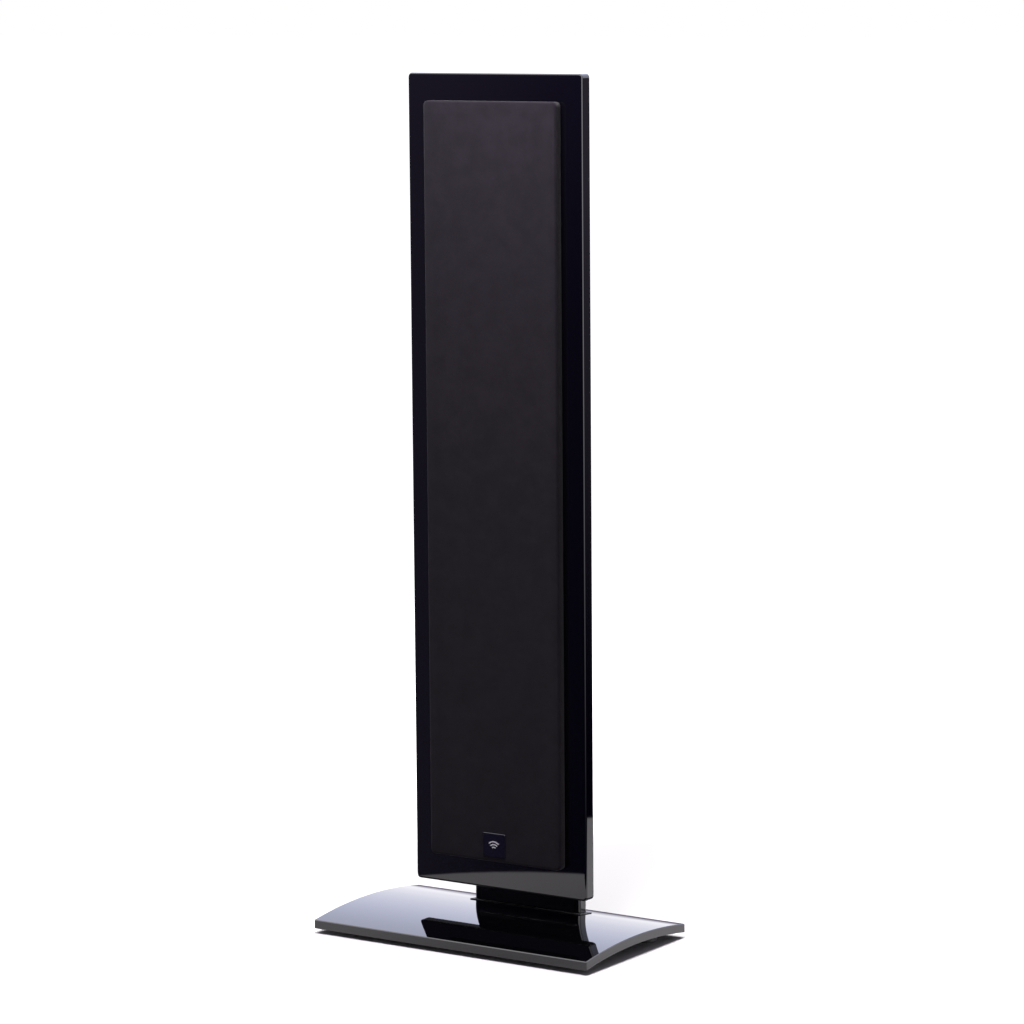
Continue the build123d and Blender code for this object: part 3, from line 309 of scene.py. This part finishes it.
FINISHES = {
    "gloss_black": lambda n: lacquer(n, (0.0008, 0.0008, 0.0012), 0.02),
    "panel_lacquer": lambda n: lacquer(n, (0.0008, 0.0007, 0.0014), 0.03),
    "shell_black": lambda n: textured_paint(n, (0.018, 0.018, 0.021), 0.42),
    "column_black": lambda n: lacquer(n, (0.006, 0.006, 0.008), 0.07, 0.5),
    "cover_black": lambda n: textured_paint(n, (0.02, 0.02, 0.022), 0.5),
    "grille_plastic": lambda n: textured_paint(n, (0.02, 0.02, 0.021), 0.55),
    "badge_black": lambda n: lacquer(n, (0.002, 0.002, 0.006), 0.05),
    "badge_silver": lambda n: metal(n, (0.92, 0.91, 0.9), 0.3),
    "rubber": lambda n: moulded(n, (0.012, 0.012, 0.013), 0.7),
    "foam": lambda n: textured_paint(n, (0.03, 0.03, 0.032), 0.9, 2200.0, 0.0003),
    "wadding": lambda n: fibre(n, (0.62, 0.6, 0.54)),
    "brace_board": lambda n: board(n, (0.42, 0.29, 0.17)),
    "zinc_steel": lambda n: metal(n, (0.62, 0.63, 0.66), 0.3),
    "black_steel": lambda n: metal(n, (0.05, 0.05, 0.055), 0.4),
    "brass": lambda n: metal(n, (0.8, 0.6, 0.27), 0.25, (60.0, 1800.0, 60.0)),
    "gold_plate": lambda n: metal(n, (0.9, 0.66, 0.28), 0.16, (60.0, 1800.0, 60.0)),
    "red_plastic": lambda n: moulded(n, (0.42, 0.012, 0.01), 0.3),
    "black_plastic": lambda n: moulded(n, (0.012, 0.012, 0.013), 0.3),
    "cup_plastic": lambda n: textured_paint(n, (0.016, 0.016, 0.017), 0.45, 1500.0),
    "board_green": lambda n: board(n, (0.03, 0.16, 0.06)),
    "copper": lambda n: wound(n, (0.8, 0.36, 0.16)),
    "capacitor_film": lambda n: moulded(n, (0.7, 0.5, 0.06), 0.35),
    "ceramic_white": lambda n: textured_paint(n, (0.72, 0.7, 0.64), 0.8, 1200.0),
    "lead_jacket": lambda n: moulded(n, (0.02, 0.02, 0.022), 0.5),
    "basket_cast": lambda n: textured_paint(n, (0.02, 0.02, 0.022), 0.4, 1300.0),
    "roll_rubber": lambda n: moulded(n, (0.012, 0.012, 0.013), 0.5),
    "cone_metal": lambda n: metal(n, (0.62, 0.63, 0.66), 0.35, (300.0, 1500.0, 300.0)),
    "coil_former": lambda n: wound(n, (0.75, 0.42, 0.2), 0.0005),
    "spider_cloth": lambda n: dipped_cloth(n, (0.62, 0.42, 0.14)),
    "magnet_ferrite": lambda n: metal(n, (0.16, 0.16, 0.17), 0.5),
    "dome_silk": lambda n: dipped_cloth(n, (0.02, 0.02, 0.026)),
    "grille_cloth": lambda n: acoustic_cloth(n, (0.0049, 0.0040, 0.0057)),
}
made = {slot: build(slot) for slot, build in FINISHES.items()}


def paint(thing, slot):
    thing.data.materials.clear()
    thing.data.materials.append(made[slot])


for row in frame["record"]["subparts"]:
    paint(nodes[row["node"]], row["material_slot"])


# ================================================================ camera
def place_camera():
    data = bpy.data.cameras.new("camera")
    data.sensor_width = SENSOR
    data.lens = CAMERA_LENS
    data.clip_end = 200.0
    camera = bpy.data.objects.new("camera", data)
    bpy.context.scene.collection.objects.link(camera)
    sin_t, cos_t = math.sin(CAMERA_TURN), math.cos(CAMERA_TURN)
    sin_p, cos_p = math.sin(CAMERA_PITCH), math.cos(CAMERA_PITCH)
    forward = Vector((-sin_t * cos_p, cos_t * cos_p, -sin_p))
    right = Vector((cos_t, sin_t, 0.0))
    up = right.cross(forward)
    turned_right = right * math.cos(CAMERA_ROLL) + up * math.sin(CAMERA_ROLL)
    turned_up = turned_right.cross(forward)
    camera.matrix_world = Matrix((turned_right, turned_up, -forward)).transposed().to_4x4()
    camera.location = CAMERA_PLACE
    bpy.context.scene.camera = camera


# ================================================================ stage and light
def make_floor():
    """A pale floor. In reflections it ends at an ellipse round the object. Far out it glows to meet the backdrop."""
    mesh = bpy.data.meshes.new("floor")
    half = FLOOR_HALF
    mesh.from_pydata([(-half, -half, 0), (half, -half, 0), (half, half, 0), (-half, half, 0)], [], [(0, 1, 2, 3)])
    floor = bpy.data.objects.new("floor", mesh)
    bpy.context.scene.collection.objects.link(floor)
    material = bpy.data.materials.new("floor")
    material.use_nodes = True
    graph = Graph(material.node_tree)
    x, y = graph.axes(graph.place())[:2]
    sin_t, cos_t = math.sin(CAMERA_TURN), math.cos(CAMERA_TURN)
    along = graph.math("ADD", graph.math("MULTIPLY", x, sin_t), graph.math("MULTIPLY", y, cos_t))
    across = graph.math("SUBTRACT", graph.math("MULTIPLY", x, cos_t), graph.math("MULTIPLY", y, sin_t))
    along = graph.math("DIVIDE", graph.math("SUBTRACT", along, POOL_CENTRE), POOL_LONG)
    across = graph.math("DIVIDE", across, POOL_SHORT)
    reach = graph.math("SQRT", graph.math("ADD", graph.math("MULTIPLY", along, along),
                                          graph.math("MULTIPLY", across, across)))
    beyond = graph.step(reach, 1.0 - POOL_EDGE, 1.0 + POOL_EDGE)
    rays = graph.add("ShaderNodeLightPath")
    dark = graph.math("MULTIPLY", beyond, rays.outputs["Is Glossy Ray"])
    tone = rgb((FLOOR_WHITE, FLOOR_WHITE * FLOOR_WARMTH, FLOOR_WHITE * FLOOR_WARMTH))
    diffuse = graph.add("ShaderNodeBsdfDiffuse", {"Color": tone})
    far = graph.step(reach, *GLOW_RUN)
    glow = graph.math("MULTIPLY", far, rays.outputs["Is Camera Ray"])
    emission = graph.add("ShaderNodeEmission", {"Color": (1, 1, 1, 1), "Strength": glow})
    lit = graph.add("ShaderNodeAddShader", {0: diffuse.outputs[0], 1: emission.outputs[0]})
    hole = graph.add("ShaderNodeBsdfTransparent")
    mixed = graph.add("ShaderNodeMixShader", {0: dark, 1: lit.outputs[0], 2: hole.outputs[0]})
    graph.add("ShaderNodeOutputMaterial", {"Surface": mixed.outputs[0]})
    mesh.materials.append(material)


def area_light(name, place, size, power, target, colour=(1, 1, 1)):
    """A square light that is soft on matt surfaces and leaves no mirror image of itself."""
    data = bpy.data.lights.new(name, "AREA")
    data.energy = power
    data.color = colour
    data.size = size
    lamp = bpy.data.objects.new(name, data)
    bpy.context.scene.collection.objects.link(lamp)
    lamp.location = place
    lamp.rotation_euler = (Vector(target) - Vector(place)).to_track_quat("-Z", "Y").to_euler()
    lamp.visible_glossy = False
    lamp.visible_camera = False


def make_world():
    """White to the camera, soft to matt surfaces, and to reflections a bright back, a dark front and a right strip."""
    world = bpy.data.worlds.new("world")
    bpy.context.scene.world = world
    world.use_nodes = True
    graph = Graph(world.node_tree)
    direction = graph.add("ShaderNodeTexCoord").outputs["Generated"]
    x, y, z = graph.axes(direction)[:3]
    flat = graph.math("SQRT", graph.math("ADD", graph.math("MULTIPLY", x, x), graph.math("MULTIPLY", y, y)))
    east = graph.math("DIVIDE", x, flat)
    north = graph.math("DIVIDE", y, flat)

    back = graph.step(north, -0.05, 0.35)
    climb = graph.step(z, 0.0, 0.42)
    back_colour = graph.mix_colour(climb, BACK_AT_HORIZON, BACK_HIGH)
    low_colour = graph.mix_colour(graph.step(z, -0.2, -0.02), BELOW_DEEP, BELOW_HORIZON)
    back_colour = graph.mix_colour(graph.step(z, -0.02, 0.035), low_colour, back_colour)
    front_fade = graph.step(east, -0.58, -0.535, 1.0, 0.0)
    front_colour = graph.mix_colour(front_fade, FRONT_DEEP, FRONT_LEFT)
    side = graph.math("MULTIPLY", graph.step(east, 0.45, 0.7), graph.step(north, 0.1, -0.1))
    side = graph.math("MULTIPLY", side, graph.step(z, -0.24, 0.0))
    front_colour = graph.mix_colour(side, front_colour, RIGHT_STRIP)
    ring = graph.mix_colour(back, front_colour, back_colour)
    overhead = graph.step(z, 0.5, 0.75)
    reflected = graph.mix_colour(overhead, ring, OVERHEAD)

    rays = graph.add("ShaderNodeLightPath")
    soft = graph.mix_colour(graph.step(z, -0.1, 0.5), SOFT_LOW, SOFT_HIGH)
    seen = graph.mix_colour(rays.outputs["Is Glossy Ray"], soft, reflected)
    seen = graph.mix_colour(rays.outputs["Is Camera Ray"], seen, (1.0, 1.0, 1.0, 1))
    background = graph.add("ShaderNodeBackground", {"Color": seen, "Strength": 1.0})
    graph.add("ShaderNodeOutputWorld", {"Surface": background.outputs[0]})


place_camera()
make_floor()
make_world()
area_light("ceiling", CEILING_PLACE, CEILING_SIZE, CEILING_POWER, (0, 0, 0.2))
area_light("head_light", HEAD_PLACE, HEAD_SIZE, HEAD_POWER, (0.0, 0.0, 0.75), colour=(0.98, 0.94, 1.0))

scene = bpy.context.scene
scene.view_settings.view_transform = "Standard"

# ================================================================ pieces
def new_piece(name, mesh, slot):
    """Turn a finished bmesh into a smooth object of the scene, with the material of its slot."""
    bmesh.ops.recalc_face_normals(mesh, faces=mesh.faces)
    data = bpy.data.meshes.new(name)
    mesh.to_mesh(data)
    mesh.free()
    for polygon in data.polygons:
        polygon.use_smooth = True
    piece = bpy.data.objects.new(name, data)
    bpy.context.scene.collection.objects.link(piece)
    paint(piece, slot)
    return piece


# ================================================================ grille cloth
CLOTH_SLOT = "grille_cloth"
EDGE_ROUND = 3.0 * MM
EDGE_STEPS = 6
CORNER_ROUND = 6.0 * MM
CORNER_STEPS = 8
HEM = 7.0 * MM
HEM_LIFT = 0.6 * MM
RAIL = 9.0 * MM
DIP = 0.35 * MM
DIP_RUN = 14.0 * MM
DIP_STEPS = 6
GRID = 9.0 * MM


def rounded_outline(low, high, inset):
    """Points round a rounded rectangle in X and Z, drawn in by inset and always counted the same."""
    radius = max(CORNER_ROUND - inset, 0.5 * MM)
    wide = (high.x - low.x) - 2 * CORNER_ROUND
    tall = (high.z - low.z) - 2 * CORNER_ROUND
    runs = (round(tall / GRID), round(wide / GRID))
    points = []
    for quarter, (sx, sz) in enumerate(((1, 1), (-1, 1), (-1, -1), (1, -1))):
        edge_x = high.x if sx > 0 else low.x
        edge_z = high.z if sz > 0 else low.z
        centre = (edge_x - sx * (inset + radius), edge_z - sz * (inset + radius))
        for step in range(CORNER_STEPS + 1):
            angle = math.radians(90 * (quarter + step / CORNER_STEPS))
            points.append((centre[0] + radius * math.cos(angle), centre[1] + radius * math.sin(angle)))
    corner_points = CORNER_STEPS + 1
    dense = []
    for quarter in range(4):
        start = quarter * corner_points
        dense += points[start:start + corner_points]
        a = dense[-1]
        b = points[(start + corner_points) % len(points)]
        parts = runs[1] if quarter % 2 == 0 else runs[0]
        dense += [(a[0] + (b[0] - a[0]) * i / parts, a[1] + (b[1] - a[1]) * i / parts) for i in range(1, parts)]
    return dense


def cloth_rings(low, high):
    """Inset and depth of each ring of the cloth, from its hem behind the frame to the middle of the front."""
    rings = [(HEM, high.y), (HEM_LIFT, high.y), (0.0, high.y - HEM_LIFT), (0.0, low.y + EDGE_ROUND)]
    for step in range(1, EDGE_STEPS + 1):
        angle = math.radians(90 * step / EDGE_STEPS)
        rings.append((EDGE_ROUND * (1 - math.cos(angle)), low.y + EDGE_ROUND * (1 - math.sin(angle))))
    rings.append((RAIL, low.y))
    for step in range(1, DIP_STEPS + 1):
        share = step / DIP_STEPS
        rings.append((RAIL + share * DIP_RUN, low.y + DIP * share * share * (3 - 2 * share)))
    inset = RAIL + DIP_RUN
    middle = (high.x - low.x) / 2
    while inset + GRID < middle:
        inset += GRID
        rings.append((inset, low.y + DIP))
    return rings


def make_cloth():
    """The cloth, stretched over the frame's rim and turned in behind it."""
    low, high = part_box("grille_cloth")
    mesh = bmesh.new()
    loops = []
    for inset, depth in cloth_rings(low, high):
        loops.append([mesh.verts.new((px, depth, pz)) for px, pz in rounded_outline(low, high, inset)])
    for a, b in zip(loops, loops[1:]):
        for i in range(len(a)):
            j = (i + 1) % len(a)
            mesh.faces.new((a[i], a[j], b[j], b[i]))
    mesh.faces.new(loops[-1])
    cloth = new_piece("stretched_cloth", mesh, CLOTH_SLOT)
    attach(cloth, "grille")
    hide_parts("grille_cloth")


# ================================================================ damping wadding
WAD_SLOT = "wadding"
WAD_CELL = 4.0 * MM
WAD_CORNER = 9.0 * MM
WAD_TUFT = 2.2 * MM
WAD_TUFT_SIZE = 26.0
WAD_COARSE = 4
WAD_FINE = 14


def tufted(point, middle, half):
    """Pull a point of a block in to rounded edges, then in again by a soft lumpy depth."""
    inner = Vector([max(h - WAD_CORNER, 0.0) for h in half])
    offset = point - middle
    core = Vector([max(-i, min(i, o)) for i, o in zip(inner, offset)])
    out = offset - core
    if out.length < 1e-9:
        return point
    coarse = noise.noise(point * WAD_TUFT_SIZE * WAD_COARSE)
    fine = noise.noise(point * WAD_TUFT_SIZE * WAD_FINE)
    lump = 0.5 + 0.5 * coarse + 0.25 * fine
    return middle + core + out.normalized() * (WAD_CORNER - WAD_TUFT * max(0.0, min(1.0, lump)))


def wad_block(mesh, low, high):
    """One lumpy block: a grid on each of its six sides."""
    middle = (low + high) / 2
    half = (high - low) / 2
    counts = [max(2, round((b - a) / WAD_CELL)) for a, b in zip(low, high)]
    corners = {}

    def vertex(i, j, k):
        key = (i, j, k)
        if key not in corners:
            place = Vector([a + (b - a) * n / c for a, b, n, c in zip(low, high, key, counts)])
            corners[key] = mesh.verts.new(tufted(place, middle, half))
        return corners[key]

    for axis in range(3):
        u, v = [a for a in range(3) if a != axis]
        for end in (0, counts[axis]):
            for i in range(counts[u]):
                for j in range(counts[v]):
                    ring = []
                    for di, dj in ((0, 0), (1, 0), (1, 1), (0, 1)):
                        key = [0, 0, 0]
                        key[axis], key[u], key[v] = end, i + di, j + dj
                        ring.append(vertex(*key))
                    mesh.faces.new(ring)


def wad_boxes():
    """The extents of the node's two separate pads, split at the gap between them."""
    points = [nodes["damping_wadding"].matrix_world @ v.co for v in nodes["damping_wadding"].data.vertices]
    middle = (min(p.z for p in points) + max(p.z for p in points)) / 2
    boxes = []
    for keep in ([p for p in points if p.z < middle], [p for p in points if p.z >= middle]):
        boxes.append((Vector([min(p[i] for p in keep) for i in range(3)]),
                      Vector([max(p[i] for p in keep) for i in range(3)])))
    return boxes


def make_wadding():
    """The two pads of loose fibre at the ends of the enclosure, lumpy and soft."""
    mesh = bmesh.new()
    for low, high in wad_boxes():
        wad_block(mesh, low, high)
    pads = new_piece("loose_wadding", mesh, WAD_SLOT)
    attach(pads, "cabinet_and_stand")
    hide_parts("damping_wadding")


make_cloth()
make_wadding()
